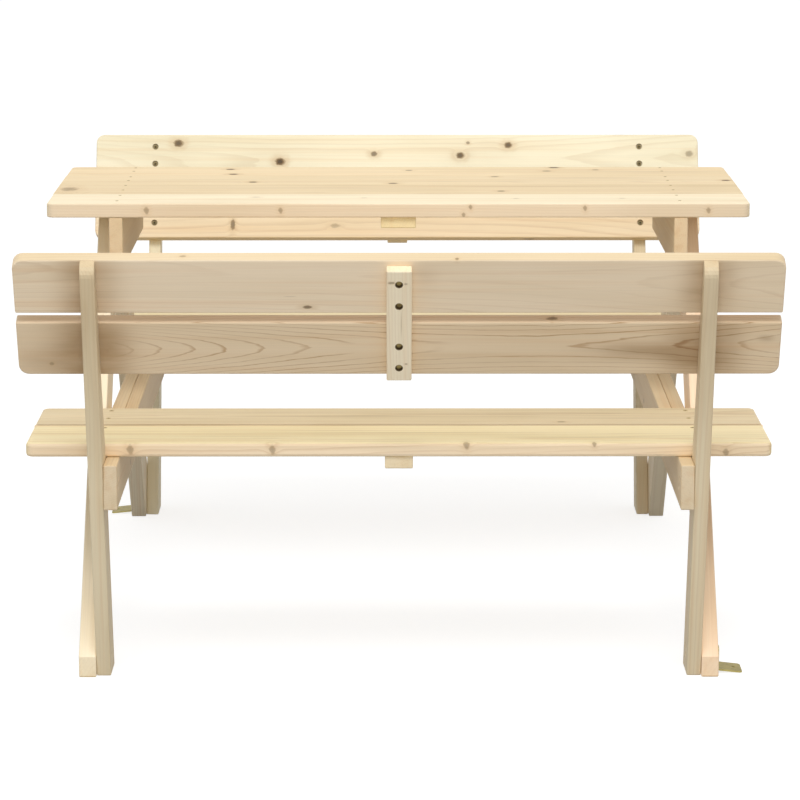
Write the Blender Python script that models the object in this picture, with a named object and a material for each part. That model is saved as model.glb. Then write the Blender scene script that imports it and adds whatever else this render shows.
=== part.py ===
"""A picnic table with two benches on one frame, each bench with a reclined backrest, in bare softwood.

The table's length runs along X, and the two benches lie to the front (-Y) and the back (+Y).
The origin is on the ground, under the middle of the tabletop. Lengths are in metres, with +Z up.

Each end of the table has three layers of timber, counted from the outside:
the sloping legs, then the backrest posts with the tabletop's crossbeam and the tie beam, then the seat beam.
The back bench is the front bench turned half round about Z.
"""
import math

import bmesh
import bpy
from mathutils import Matrix, Vector

# Tabletop
BOARD_LENGTH = 1.260
TABLE_HEIGHT = 0.763
TABLE_THICKNESS = 0.025
TABLE_PLANKS = 4
TABLE_PLANK_WIDTH = 0.132
TABLE_PLANK_GAP = 0.0005
TABLE_CORNER_RADIUS = 0.013
TABLE_EDGE = 0.002
TABLE_BATTEN_WIDTH = 0.063
TABLE_BATTEN_THICKNESS = 0.020
TABLE_BATTEN_SETBACK = 0.008

# Seats
SEAT_HEIGHT = 0.415
SEAT_THICKNESS = 0.0243
SEAT_PLANK_GAP = 0.0035
SEAT_CORNER_RADIUS = 0.012
SEAT_EDGE = 0.005
SEAT_BATTEN_WIDTH = 0.0475
SEAT_BATTEN_THICKNESS = 0.021
SEAT_BATTEN_SETBACK = 0.006
SEAT_CLEARANCE = 0.002

# Backrests
BACK_RECLINE = math.radians(23.55)
BACK_BOTTOM_HEIGHT = 0.5455
BACK_BOARD_WIDTH = 0.103
BACK_BOARD_GAP = 0.018
BACK_BOARD_THICKNESS = 0.0245
BACK_CORNER_RADIUS = 0.017
BACK_EDGE = 0.0025
BACK_BATTEN_WIDTH = 0.0415
BACK_BATTEN_THICKNESS = 0.019
BACK_BATTEN_DROP = 0.010
BATTEN_SCREW_FROM_BOARD_TOP = 0.0355
BATTEN_SCREW_FROM_BOARD_BOTTOM = 0.0255
LOWER_BOARD_BORES = (0.0325, 0.0725)
UPPER_BOARD_BORES = (0.0395, 0.0765)

# End frames
LEG_INSET = 0.0815
LEG_THICKNESS = 0.0295
LEG_WIDTH = 0.104
LEG_FOOT_REACH = 0.673
LEG_SHOULDER = 0.102
LEG_TOE_HEIGHT = 0.036
LEG_TOE_RADIUS = 0.003
LEG_TOP_GAP = 0.006
POST_THICKNESS = 0.0243
POST_WIDTH = 0.0745
POST_FOOT_SETBACK = 0.011
POST_LEAN = math.radians(16.1)
POST_TOP_RADIUS = 0.027
SEAT_BEAM_THICKNESS = 0.0228
SEAT_BEAM_DEPTH = 0.0765
CROSSBEAM_DEPTH = 0.0945
CROSSBEAM_SETBACK = 0.0015
FRAME_EDGE = 0.002
JOINT_EDGE = 0.0004

# Screws, sunk in counterbores
SCREW_HEAD_RADIUS = 0.0048
SCREW_HEAD_HEIGHT = 0.0028
SCREW_SHANK_RADIUS = 0.0022
SCREW_TIP = 0.004
SCREW_CLEARANCE = 0.0003
BORE_LIP = 0.0005
BATTEN_SCREW_LENGTH = 0.032
BATTEN_BORE_RADIUS = 0.0058
BATTEN_BORE_DEPTH = 0.005
FRAME_SCREW_LENGTH = 0.038
FRAME_BORE_RADIUS = 0.0052
FRAME_BORE_DEPTH = 0.002
FRAME_SCREW_SPACING = 0.016
FOOT_SCREW_HEIGHT = 0.039
BOARD_BORE_RADIUS = 0.0063
BOARD_BORE_DEPTH = 0.004

# Ground anchors
ANCHOR_WIDTH = 0.052
ANCHOR_REACH = 0.043
ANCHOR_HEIGHT = 0.046
ANCHOR_RISE = 0.0045
ANCHOR_THICKNESS = 0.0025
ANCHOR_BEND_RADIUS = 0.002
ANCHOR_CORNER_RADIUS = 0.006
ANCHOR_HOLE_RADIUS = 0.0032
ANCHOR_HOLE_END = 0.013

# Touching timbers keep this gap
CONTACT = 0.0003

# Arc and bevel fineness
CORNER_STEPS = 5
EDGE_STEPS = 2
SCREW_SIDES = 12
BORE_SIDES = 16
BEVEL_ANGLE = math.radians(40)
SMOOTH_ANGLE = math.radians(35)

# Worked out from the sizes above
TABLE_DEPTH = TABLE_PLANKS * TABLE_PLANK_WIDTH + (TABLE_PLANKS - 1) * TABLE_PLANK_GAP
TABLE_UNDERSIDE = TABLE_HEIGHT - TABLE_THICKNESS
SEAT_UNDERSIDE = SEAT_HEIGHT - SEAT_THICKNESS
BEAM_TOP = SEAT_UNDERSIDE - CONTACT
BEAM_BOTTOM = BEAM_TOP - SEAT_BEAM_DEPTH
LEG_TOP = TABLE_UNDERSIDE - CONTACT
LEG_OUTSIDE = BOARD_LENGTH / 2 - LEG_INSET
LEG_INSIDE = LEG_OUTSIDE - LEG_THICKNESS
POST_OUTSIDE = LEG_INSIDE - CONTACT
POST_INSIDE = POST_OUTSIDE - POST_THICKNESS
POST_MIDDLE = (POST_OUTSIDE + POST_INSIDE) / 2
POST_FOOT_REACH = LEG_FOOT_REACH - POST_FOOT_SETBACK
SEAT_BEAM_OUTSIDE = POST_INSIDE - CONTACT
BACK_SLOPE_LENGTH = 2 * BACK_BOARD_WIDTH + BACK_BOARD_GAP

# The front bench is modelled as it is, the back bench turned half round
FRONT = Matrix.Identity(4)
BACK = Matrix.Rotation(math.pi, 4, "Z")
BENCHES = (("front", FRONT), ("back", BACK))

# A slab's own x, y and z become the world's y, z and x, for timbers that stand on edge across the table
UPRIGHT = Matrix(((0, 0, 1, 0), (1, 0, 0, 0), (0, 1, 0, 0), (0, 0, 0, 1)))


def clear_scene():
    """Remove every object that the file holds."""
    for item in list(bpy.data.objects):
        bpy.data.objects.remove(item, do_unlink=True)


def finish(name, colour, roughness, metallic=0.0):
    """Return a new Principled material."""
    material = bpy.data.materials.new(name)
    material.use_nodes = True
    shader = material.node_tree.nodes["Principled BSDF"]
    shader.inputs["Base Color"].default_value = (*colour, 1.0)
    shader.inputs["Roughness"].default_value = roughness
    shader.inputs["Metallic"].default_value = metallic
    material.diffuse_color = (*colour, 1.0)
    return material


def softwood(name, shade=1.0):
    """Return a bare fir finish, a little lighter or darker with its shade."""
    return finish(name, (0.84 * shade, 0.68 * shade, 0.46 * shade), 0.62)


def zinc(name):
    """Return a yellow zinc-plated steel finish."""
    return finish(name, (0.56, 0.49, 0.22), 0.38, 0.9)


def signed_area(points):
    """Return an outline's area, positive when it runs anticlockwise."""
    pairs = zip(points, points[1:] + points[:1])
    return sum(a[0] * b[1] - b[0] * a[1] for a, b in pairs) / 2


def rounded(corners, radii):
    """Return an outline with each corner rounded to its radius by an arc."""
    outline = []
    count = len(corners)
    for i in range(count):
        here = Vector(corners[i])
        radius = radii[i]
        if radius == 0:
            outline.append(tuple(here))
            continue
        before = (Vector(corners[i - 1]) - here).normalized()
        after = (Vector(corners[(i + 1) % count]) - here).normalized()
        half = before.angle(after) / 2
        centre = here + (before + after).normalized() * (radius / math.sin(half))
        start = here + before * (radius / math.tan(half)) - centre
        sweep = start.angle_signed(here + after * (radius / math.tan(half)) - centre)
        for step in range(CORNER_STEPS + 1):
            turn = Matrix.Rotation(-sweep * step / CORNER_STEPS, 2)
            outline.append(tuple(centre + turn @ start))
    return outline


def add_object(name, mesh, material, matrix):
    """Link a mesh into the scene as a named object."""
    item = bpy.data.objects.new(name, mesh)
    item.matrix_world = matrix
    if material:
        mesh.materials.append(material)
    bpy.context.scene.collection.objects.link(item)
    return item


def slab(name, outline, thickness, edge, material, matrix, joints=()):
    """Extrude an outline upwards, and ease its edges where an edge width is given.

    Edges along the y values in joints, where the next plank lies close, stay nearly sharp.
    """
    if signed_area(outline) < 0:
        outline = outline[::-1]
    mesh = bpy.data.meshes.new(name)
    bm = bmesh.new()
    low = [bm.verts.new((x, y, 0)) for x, y in outline]
    bottom = bm.faces.new(low)
    made = bmesh.ops.extrude_face_region(bm, geom=[bottom])["geom"]
    top = [item for item in made if isinstance(item, bmesh.types.BMVert)]
    bmesh.ops.translate(bm, verts=top, vec=(0, 0, thickness))
    bmesh.ops.recalc_face_normals(bm, faces=bm.faces)
    weight = bm.edges.layers.float.new("bevel_weight_edge")
    for line in bm.edges:
        if edge and line.calc_face_angle(0.0) > BEVEL_ANGLE:
            close = all(any(abs(v.co.y - y) < CONTACT / 2 for y in joints) for v in line.verts)
            line[weight] = JOINT_EDGE / edge if close else 1.0
    bm.to_mesh(mesh)
    bm.free()
    mesh.shade_smooth()
    item = add_object(name, mesh, material, matrix)
    if edge:
        bevel = item.modifiers.new("eased edges", "BEVEL")
        bevel.width = edge
        bevel.segments = EDGE_STEPS
        bevel.limit_method = "WEIGHT"
    return item


def turned(name, profile, sides, material, matrix):
    """Turn a profile of (radius, depth) points about Z, from the middle of its top to its lower end."""
    mesh = bpy.data.meshes.new(name)
    bm = bmesh.new()
    points = [bm.verts.new((radius, 0, -depth)) for radius, depth in profile]
    lines = [bm.edges.new(pair) for pair in zip(points, points[1:])]
    bmesh.ops.spin(bm, geom=points + lines, axis=(0, 0, 1), cent=(0, 0, 0), angle=2 * math.pi,
                   steps=sides, use_merge=True)
    bmesh.ops.remove_doubles(bm, verts=bm.verts, dist=1e-6)
    bmesh.ops.recalc_face_normals(bm, faces=bm.faces)
    bm.to_mesh(mesh)
    bm.free()
    mesh.shade_smooth()
    return add_object(name, mesh, material, matrix)


def settle(item):
    """Apply an object's modifiers and sharpen the shading along its corners."""
    graph = bpy.context.evaluated_depsgraph_get()
    mesh = bpy.data.meshes.new_from_object(item.evaluated_get(graph))
    item.modifiers.clear()
    item.data = mesh
    mesh.set_sharp_from_angle(angle=SMOOTH_ANGLE)


def as_cutter(item):
    """Mark an object as a cutter, which is no piece of the table."""
    item.hide_render = True
    item.display_type = "WIRE"
    return item


def cut(item, cutters):
    """Subtract every cutter from an object in one step."""
    group = bpy.data.collections.new(item.name + " cutters")
    for cutter in cutters:
        group.objects.link(cutter)
    holes = item.modifiers.new("holes", "BOOLEAN")
    holes.operation = "DIFFERENCE"
    holes.operand_type = "COLLECTION"
    holes.collection = group


def drive_screw(name, place, inward, length, bore_radius, bore_depth, pieces, cutters):
    """Sink a countersunk screw in a counterbore, and note the bore's cutter for each piece that it passes."""
    matrix = Matrix.Translation(place) @ (-Vector(inward)).to_track_quat("Z", "Y").to_matrix().to_4x4()
    end = bore_depth + length
    neck = bore_depth + SCREW_HEAD_HEIGHT
    screw = ((0, bore_depth), (SCREW_HEAD_RADIUS, bore_depth), (SCREW_SHANK_RADIUS, neck),
             (SCREW_SHANK_RADIUS, end - SCREW_TIP), (0, end))
    turned(name, screw, SCREW_SIDES, zinc(name), matrix)
    hole = SCREW_SHANK_RADIUS + SCREW_CLEARANCE
    head = SCREW_HEAD_RADIUS + SCREW_CLEARANCE
    bore = ((0, -BORE_LIP), (bore_radius + 2 * BORE_LIP, -BORE_LIP), (bore_radius, BORE_LIP),
            (bore_radius, bore_depth), (head, bore_depth), (hole, neck), (hole, end + SCREW_CLEARANCE),
            (0, end + SCREW_CLEARANCE))
    cutter = as_cutter(turned(name + "_bore", bore, BORE_SIDES, None, matrix))
    for piece in pieces:
        cutters.setdefault(piece, []).append(cutter)


def rectangle(x0, y0, x1, y1):
    """Return a rectangle's corners, from the lower left round to the upper left."""
    return [(x0, y0), (x1, y0), (x1, y1), (x0, y1)]


def plank(name, y0, y1, top, thickness, radii, edge, matrix, shade, joints=()):
    """Lay a long plank flat between two y values."""
    half = BOARD_LENGTH / 2
    outline = rounded(rectangle(-half, y0, half, y1), radii)
    lift = Matrix.Translation((0, 0, top - thickness))
    return slab(name, outline, thickness, edge, softwood(name, shade), matrix @ lift, joints)


def post_outer(z):
    """Return how far in front of the middle a front post's outer edge lies at a height."""
    return POST_FOOT_REACH + z * math.tan(POST_LEAN)


def post_inner(z):
    """Return how far in front of the middle a front post's inner edge lies, below the seat."""
    return post_outer(z) - POST_WIDTH / math.cos(POST_LEAN)


def back_face(z):
    """Return how far in front of the middle the backrest's outer face lies at a height.

    The posts taper above the seat, so this face starts at their inner edge under the seat.
    """
    return post_inner(SEAT_UNDERSIDE) + (z - SEAT_UNDERSIDE) * math.tan(BACK_RECLINE)


def leg_lean():
    """Return a leg's lean from upright, between its toe and its shoulder under the tabletop."""
    return math.atan2(LEG_FOOT_REACH - LEG_SHOULDER, LEG_TOP - LEG_TOE_HEIGHT)


def leg_front(z):
    """Return how far in front of the middle a front leg's front edge lies at a height above its toe."""
    return LEG_FOOT_REACH - (z - LEG_TOE_HEIGHT) * math.tan(leg_lean())


def leg_heel():
    """Return how far in front of the middle a front leg's back edge meets the ground."""
    return leg_front(0) - LEG_WIDTH / math.cos(leg_lean())


def leg_outline():
    """Return a front leg's outline in y and z, with its toe cut upright and its ends level.

    Where the back edge would cross the middle of the table, it is cut upright too, to meet the other leg.
    """
    middle = LEG_TOP_GAP / 2
    crossing = (leg_heel() - middle) / math.tan(leg_lean())
    if crossing < LEG_TOP:
        head = [(-middle, crossing), (-middle, LEG_TOP)]
    else:
        head = [(-(leg_heel() - LEG_TOP * math.tan(leg_lean())), LEG_TOP)]
    corners = [(-LEG_FOOT_REACH, 0), (-leg_heel(), 0)] + head
    corners += [(-LEG_SHOULDER, LEG_TOP), (-LEG_FOOT_REACH, LEG_TOE_HEIGHT)]
    return rounded(corners, [LEG_TOE_RADIUS] + [0] * (len(corners) - 1))


def post_outline():
    """Return a front post's outline in y and z, with a rounded top cut square to the backrest."""
    gap = CONTACT / math.cos(BACK_RECLINE)
    top = BACK_BOTTOM_HEIGHT + BACK_SLOPE_LENGTH * math.cos(BACK_RECLINE)
    inner_top = Vector((-back_face(top) - gap, top))
    down = Vector((-math.cos(BACK_RECLINE), -math.sin(BACK_RECLINE)))
    outer = Vector((-post_outer(0), 0))
    rise = Vector((-math.sin(POST_LEAN), math.cos(POST_LEAN)))
    run = (outer - inner_top).cross(rise) / down.cross(rise)
    corners = [outer, (-post_inner(0), 0), (-back_face(SEAT_UNDERSIDE) - gap, SEAT_UNDERSIDE), inner_top,
               inner_top + down * run]
    inside = math.pi / 2 + BACK_RECLINE - POST_LEAN
    largest = (run - 2 * FRAME_EDGE) * math.tan(inside / 2)
    return rounded(corners, (0, 0, 0, 0, min(POST_TOP_RADIUS, largest)))


def upright_place(start):
    """Return the matrix that stands a slab on edge, from an X value outwards."""
    return Matrix.Translation((start, 0, 0)) @ UPRIGHT


def build_tabletop():
    """Make the tabletop's planks and the batten that ties them in the middle."""
    first = -TABLE_DEPTH / 2
    for number in range(TABLE_PLANKS):
        y0 = first + number * (TABLE_PLANK_WIDTH + TABLE_PLANK_GAP)
        y1 = y0 + TABLE_PLANK_WIDTH
        front = TABLE_CORNER_RADIUS if number == 0 else 0
        back = TABLE_CORNER_RADIUS if number == TABLE_PLANKS - 1 else 0
        joints = [y for y, outer in ((y0, front), (y1, back)) if not outer]
        plank("tabletop_plank_%d" % (number + 1), y0, y1, TABLE_HEIGHT, TABLE_THICKNESS,
              (front, front, back, back), TABLE_EDGE, FRONT, 1.0 - 0.02 * (number % 2), joints)
    half_width = TABLE_BATTEN_WIDTH / 2
    reach = TABLE_DEPTH / 2 - TABLE_BATTEN_SETBACK
    drop = TABLE_UNDERSIDE - CONTACT - TABLE_BATTEN_THICKNESS
    slab("tabletop_batten", rectangle(-half_width, -reach, half_width, reach), TABLE_BATTEN_THICKNESS,
         FRAME_EDGE, softwood("tabletop_batten", 0.97), Matrix.Translation((0, 0, drop)))


def build_seat(bench, turn):
    """Make a bench's two seat planks and the batten under them."""
    outer = -(post_inner(SEAT_UNDERSIDE) - SEAT_CLEARANCE)
    inner = -(leg_front(SEAT_UNDERSIDE) + SEAT_CLEARANCE)
    width = (inner - outer - SEAT_PLANK_GAP) / 2
    spans = (("outer", outer, outer + width), ("inner", inner - width, inner))
    for row, y0, y1 in spans:
        is_outer = row == "outer"
        radii = [SEAT_CORNER_RADIUS] * 2 + [0] * 2 if is_outer else [0] * 2 + [SEAT_CORNER_RADIUS] * 2
        plank("seat_plank_%s_%s" % (bench, row), y0, y1, SEAT_HEIGHT, SEAT_THICKNESS, radii, SEAT_EDGE, turn,
              1.0 if is_outer else 0.96, [y1 if is_outer else y0])
    half_width = SEAT_BATTEN_WIDTH / 2
    name = "seat_batten_%s" % bench
    place = turn @ Matrix.Translation((0, 0, SEAT_UNDERSIDE - CONTACT - SEAT_BATTEN_THICKNESS))
    outline = rectangle(-half_width, outer + SEAT_BATTEN_SETBACK, half_width, inner - SEAT_BATTEN_SETBACK)
    slab(name, outline, SEAT_BATTEN_THICKNESS, FRAME_EDGE, softwood(name, 0.97), place)


def bore_board(name, place):
    """Return the cutter of a counterbore in a board's inner face, for a screw into the post."""
    profile = ((0, -BORE_LIP), (BOARD_BORE_RADIUS + 2 * BORE_LIP, -BORE_LIP), (BOARD_BORE_RADIUS, BORE_LIP),
               (BOARD_BORE_RADIUS, BOARD_BORE_DEPTH), (0, BOARD_BORE_DEPTH))
    flip = Matrix.Rotation(math.pi, 4, "X")
    return as_cutter(turned(name + "_bore", profile, BORE_SIDES, None, place @ flip))


def build_backrest(bench, turn, cutters):
    """Make a bench's two backrest boards, and the screwed batten behind them."""
    # In the backrest's own frame, y runs up its slope and z points away from the sitter
    foot = Matrix.Translation((0, -back_face(BACK_BOTTOM_HEIGHT), BACK_BOTTOM_HEIGHT))
    place = turn @ foot @ Matrix.Rotation(math.pi / 2 + BACK_RECLINE, 4, "X")
    sink = place @ Matrix.Translation((0, 0, -BACK_BOARD_THICKNESS))
    half = BOARD_LENGTH / 2
    step = BACK_BOARD_WIDTH + BACK_BOARD_GAP
    round_low = (BACK_CORNER_RADIUS, BACK_CORNER_RADIUS, 0, 0)
    boards = []
    for row, base, radii, bores in (("lower", 0, round_low, LOWER_BOARD_BORES),
                                    ("upper", step, round_low[::-1], UPPER_BOARD_BORES)):
        name = "backrest_board_%s_%s" % (bench, row)
        outline = rounded(rectangle(-half, base, half, base + BACK_BOARD_WIDTH), radii)
        board = slab(name, outline, BACK_BOARD_THICKNESS, BACK_EDGE, softwood(name), sink)
        boards.append((board, base))
        cutters[board] = [bore_board(name, sink @ Matrix.Translation((x, base + y, 0)))
                          for x in (-POST_MIDDLE, POST_MIDDLE) for y in bores]
    name = "backrest_batten_%s" % bench
    half_width = BACK_BATTEN_WIDTH / 2
    outline = rectangle(-half_width, 0, half_width, BACK_SLOPE_LENGTH - BACK_BATTEN_DROP)
    lift = place @ Matrix.Translation((0, 0, CONTACT))
    batten = slab(name, outline, BACK_BATTEN_THICKNESS, FRAME_EDGE, softwood(name, 1.02), lift)
    number = 0
    for board, base in boards:
        low = base + BATTEN_SCREW_FROM_BOARD_BOTTOM
        high = base + BACK_BOARD_WIDTH - BATTEN_SCREW_FROM_BOARD_TOP
        for y in (low, high):
            number += 1
            start = place @ Vector((0, y, CONTACT + BACK_BATTEN_THICKNESS))
            inward = place.to_3x3() @ Vector((0, 0, -1))
            drive_screw("batten_screw_%s_%d" % (bench, number), start, inward, BATTEN_SCREW_LENGTH,
                        BATTEN_BORE_RADIUS, BATTEN_BORE_DEPTH, (batten, board), cutters)


def build_end(end_name, end):
    """Make the timbers of one end that are shared by both benches, and return its seat beam."""
    def place(inside, outside):
        return upright_place(inside if end > 0 else -outside)

    half = TABLE_DEPTH / 2 - CROSSBEAM_SETBACK
    name = "crossbeam_%s" % end_name
    outline = rectangle(-half, LEG_TOP - CROSSBEAM_DEPTH, half, LEG_TOP)
    slab(name, outline, POST_THICKNESS, FRAME_EDGE, softwood(name, 0.96), place(POST_INSIDE, POST_OUTSIDE))

    name = "tie_beam_%s" % end_name
    low = post_inner(BEAM_BOTTOM) - CONTACT / math.cos(POST_LEAN)
    high = post_inner(BEAM_TOP) - CONTACT / math.cos(POST_LEAN)
    outline = [(-low, BEAM_BOTTOM), (low, BEAM_BOTTOM), (high, BEAM_TOP), (-high, BEAM_TOP)]
    slab(name, outline, POST_THICKNESS, FRAME_EDGE, softwood(name, 0.95), place(POST_INSIDE, POST_OUTSIDE))

    name = "seat_beam_%s" % end_name
    reach = post_outer((BEAM_TOP + BEAM_BOTTOM) / 2)
    outline = rectangle(-reach, BEAM_BOTTOM, reach, BEAM_TOP)
    inside = SEAT_BEAM_OUTSIDE - SEAT_BEAM_THICKNESS
    return slab(name, outline, SEAT_BEAM_THICKNESS, FRAME_EDGE, softwood(name, 0.98),
                place(inside, SEAT_BEAM_OUTSIDE))


def build_leg_and_post(bench, turn, end_name, end, seat_beam, cutters):
    """Make a bench's leg and post at one end, with the screws that hold the post."""
    # The turned bench has its own left where the table has its right
    own_end = end if turn == FRONT else -end

    def place(inside, outside):
        return turn @ upright_place(inside if own_end > 0 else -outside)

    name = "leg_%s_%s" % (bench, end_name)
    leg = slab(name, leg_outline(), LEG_THICKNESS, FRAME_EDGE, softwood(name, 0.98),
               place(LEG_INSIDE, LEG_OUTSIDE))
    name = "post_%s_%s" % (bench, end_name)
    post = slab(name, post_outline(), POST_THICKNESS, FRAME_EDGE, softwood(name),
                place(POST_INSIDE, POST_OUTSIDE))

    outward = turn.to_3x3() @ Vector((own_end, 0, 0))
    beam_face = SEAT_BEAM_OUTSIDE - SEAT_BEAM_THICKNESS
    rows = (("beam", beam_face, (BEAM_TOP + BEAM_BOTTOM) / 2, (seat_beam, post)),
            ("foot", POST_INSIDE, FOOT_SCREW_HEIGHT, (post, leg)))
    for kind, face, middle, pieces in rows:
        for number, side in enumerate((1, -1)):
            z = middle + side * FRAME_SCREW_SPACING / 2
            y = -(post_outer(z) + post_inner(z)) / 2
            start = turn @ Vector((own_end * face, y, z))
            drive_screw("%s_screw_%s_%s_%d" % (kind, bench, end_name, number + 1), start, outward,
                        FRAME_SCREW_LENGTH, FRAME_BORE_RADIUS, FRAME_BORE_DEPTH, pieces, cutters)


def build_anchor(bench, turn, end_name):
    """Make the angle bracket that pins one foot to the ground, outside the leg."""
    name = "ground_anchor_%s_%s" % (bench, end_name)
    thick = ANCHOR_THICKNESS
    # Its section in x and z. The lower flange slopes a little, and touches the ground at its free end
    corners = [(0, ANCHOR_RISE), (ANCHOR_REACH, 0), (ANCHOR_REACH, thick), (thick, ANCHOR_RISE + thick),
               (thick, ANCHOR_HEIGHT), (0, ANCHOR_HEIGHT)]
    section = rounded(corners, (ANCHOR_BEND_RADIUS + thick, 0, 0, ANCHOR_BEND_RADIUS, 0, 0))
    foot = turn @ Matrix.Translation((LEG_OUTSIDE + CONTACT, -(LEG_FOOT_REACH + leg_heel()) / 2, 0))
    stand = Matrix.Translation((0, ANCHOR_WIDTH / 2, 0)) @ Matrix.Rotation(math.pi / 2, 4, "X")
    bracket = slab(name, section, ANCHOR_WIDTH, 0, zinc(name), foot @ stand)
    round_flanges(bracket.data)

    # On each flange x runs to its free end. The flange on the leg has it turned up
    depth = ANCHOR_RISE + thick + CONTACT
    profile = ((0, -depth), (ANCHOR_HOLE_RADIUS, -depth), (ANCHOR_HOLE_RADIUS, depth), (0, depth))
    holes = []
    for label, reach, plane in (("ground", ANCHOR_REACH, foot),
                                ("leg", ANCHOR_HEIGHT, foot @ Matrix.Rotation(-math.pi / 2, 4, "Y"))):
        place = plane @ Matrix.Translation((reach - ANCHOR_HOLE_END, 0, 0))
        holes.append(as_cutter(turned("%s_hole_%s" % (name, label), profile, BORE_SIDES, None, place)))
    cut(bracket, holes)


def round_flanges(mesh):
    """Round the free corners of an anchor's two flanges."""
    bm = bmesh.new()
    bm.from_mesh(mesh)
    free = []
    for line in bm.edges:
        at_end = (all(abs(v.co.x - ANCHOR_REACH) < CONTACT for v in line.verts)
                  or all(abs(v.co.y - ANCHOR_HEIGHT) < CONTACT for v in line.verts))
        if at_end and line.calc_length() < ANCHOR_WIDTH / 2:
            free.append(line)
    bmesh.ops.bevel(bm, geom=free, offset=ANCHOR_CORNER_RADIUS, segments=CORNER_STEPS, profile=0.5,
                    affect="EDGES")
    bm.to_mesh(mesh)
    bm.free()


def build():
    """Build the whole table."""
    clear_scene()
    cutters = {}
    build_tabletop()
    seat_beams = {}
    for end_name, end in (("left", -1), ("right", 1)):
        seat_beams[end_name] = build_end(end_name, end)
    for bench, turn in BENCHES:
        build_seat(bench, turn)
        build_backrest(bench, turn, cutters)
        for end_name, end in (("left", -1), ("right", 1)):
            build_leg_and_post(bench, turn, end_name, end, seat_beams[end_name], cutters)
    build_anchor("front", FRONT, "right")
    build_anchor("back", BACK, "left")
    for piece, bores in cutters.items():
        cut(piece, bores)
    pieces = [item for item in bpy.data.objects if not item.hide_render]
    for piece in pieces:
        settle(piece)
    for item in list(bpy.data.objects):
        if item.hide_render:
            bpy.data.objects.remove(item, do_unlink=True)


build()
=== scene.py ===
"""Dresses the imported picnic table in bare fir, with its grain, knots and end grain, and zinc-plated fittings.

Lengths are in metres. A board's own coordinates run along its grain, across it, and through its thickness,
from the board's middle. In them, every board is a piece cut out of a log, whose pith lies at a named place.
"""
import math
import random
from collections import namedtuple

import bmesh
import bpy
from mathutils import Matrix, Vector


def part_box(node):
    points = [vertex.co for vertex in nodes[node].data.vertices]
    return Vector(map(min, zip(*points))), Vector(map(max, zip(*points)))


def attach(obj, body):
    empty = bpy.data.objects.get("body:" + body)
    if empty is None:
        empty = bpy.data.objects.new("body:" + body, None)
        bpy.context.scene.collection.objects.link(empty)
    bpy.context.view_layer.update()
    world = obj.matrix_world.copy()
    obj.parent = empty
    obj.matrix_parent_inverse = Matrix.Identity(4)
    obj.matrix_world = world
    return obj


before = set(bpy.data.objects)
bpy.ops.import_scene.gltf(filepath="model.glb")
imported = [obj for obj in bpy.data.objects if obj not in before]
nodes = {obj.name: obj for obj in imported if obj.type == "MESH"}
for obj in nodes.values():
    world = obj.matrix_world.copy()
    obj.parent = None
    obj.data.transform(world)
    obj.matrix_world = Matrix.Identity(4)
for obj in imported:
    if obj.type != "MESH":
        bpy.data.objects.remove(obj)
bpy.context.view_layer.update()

# Camera, fitted to the photograph. Its focal length is in pixels of an 800 pixel frame
FRAME_PIXELS = 800
FOCAL_PIXELS = 3488.9
SENSOR_WIDTH = 36
CAMERA_PLACE = (-0.0129, -6.4584, 1.6038)
CAMERA_PITCH = math.radians(10.95)
CAMERA_YAW = math.radians(0.146)
CLIP_END = 200

# Light. A strength of 1 all round would render each colour as it is written
SKY_STRENGTH = 0.64
KEY_POWER = 172
KEY_SIZE = 3.0
KEY_PLACE = (0.0, -3.6, 5.4)
FILL_POWER = 70
FILL_SIZE = 3.0
FILL_PLACE = (0.0, -6.9, 1.9)
LIGHT_AIM = (0.0, 0.0, 0.4)

# Floor: its size, the shade that lights the object, and the shade that is seen with the glow added to it
FLOOR_RADIUS = 30.0
FLOOR_SIDES = 96
FLOOR_BOUNCE = 0.33
FLOOR_SEEN = 0.45
FLOOR_GLOW = 0.74

# Screw heads in the battens and legs, the tabletop, the seats and the backrest boards' counterbores
SCREW_RADIUS = 0.0041
TABLETOP_SCREW_RADIUS = 0.0031
SEAT_SCREW_RADIUS = 0.0044
BORE_HEAD_RADIUS = 0.0046
SCREW_SIDES = 24
FLUSH_RISE = 0.0003
FLUSH_SINK = 0.0010
FLUSH_RECESS = FLUSH_RISE * 0.9
RECESS_RADIUS = 0.0020
RECESS_LOBE = 0.20
RECESS_LOBES = 6

# Parts of a screw head, as shares of its radius, its rise or its recess's radius
HEAD_FOOT = 0.72
HEAD_TOP = 0.94
HEAD_EDGE_RISE = 0.4
RECESS_FLOOR = 0.9

# Painted shade in and round a bore: its radius, its reach along the bore, and its darkness in a backrest's
# boards
BORE_RIM = 0.0065
BORE_BLUR = 0.0006
BORE_REACH = 0.018
BORE_REACH_END = 0.020
BOARD_BORE_DARKNESS = 0.40

# How closely a board's mesh is read: digits of normals and corners, and the cosine of faces that lie level
NORMAL_DIGITS = 2
CORNER_DIGITS = 5
LEVEL_FACES = 0.9999


def srgb(red, green, blue):
    """Return a colour written in 11 to 255 as the linear colour that a shader takes."""
    channels = [((value / 255 + 0.055) / 1.055) ** 2.4 for value in (red, green, blue)]
    return (*channels, 1.0)


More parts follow.
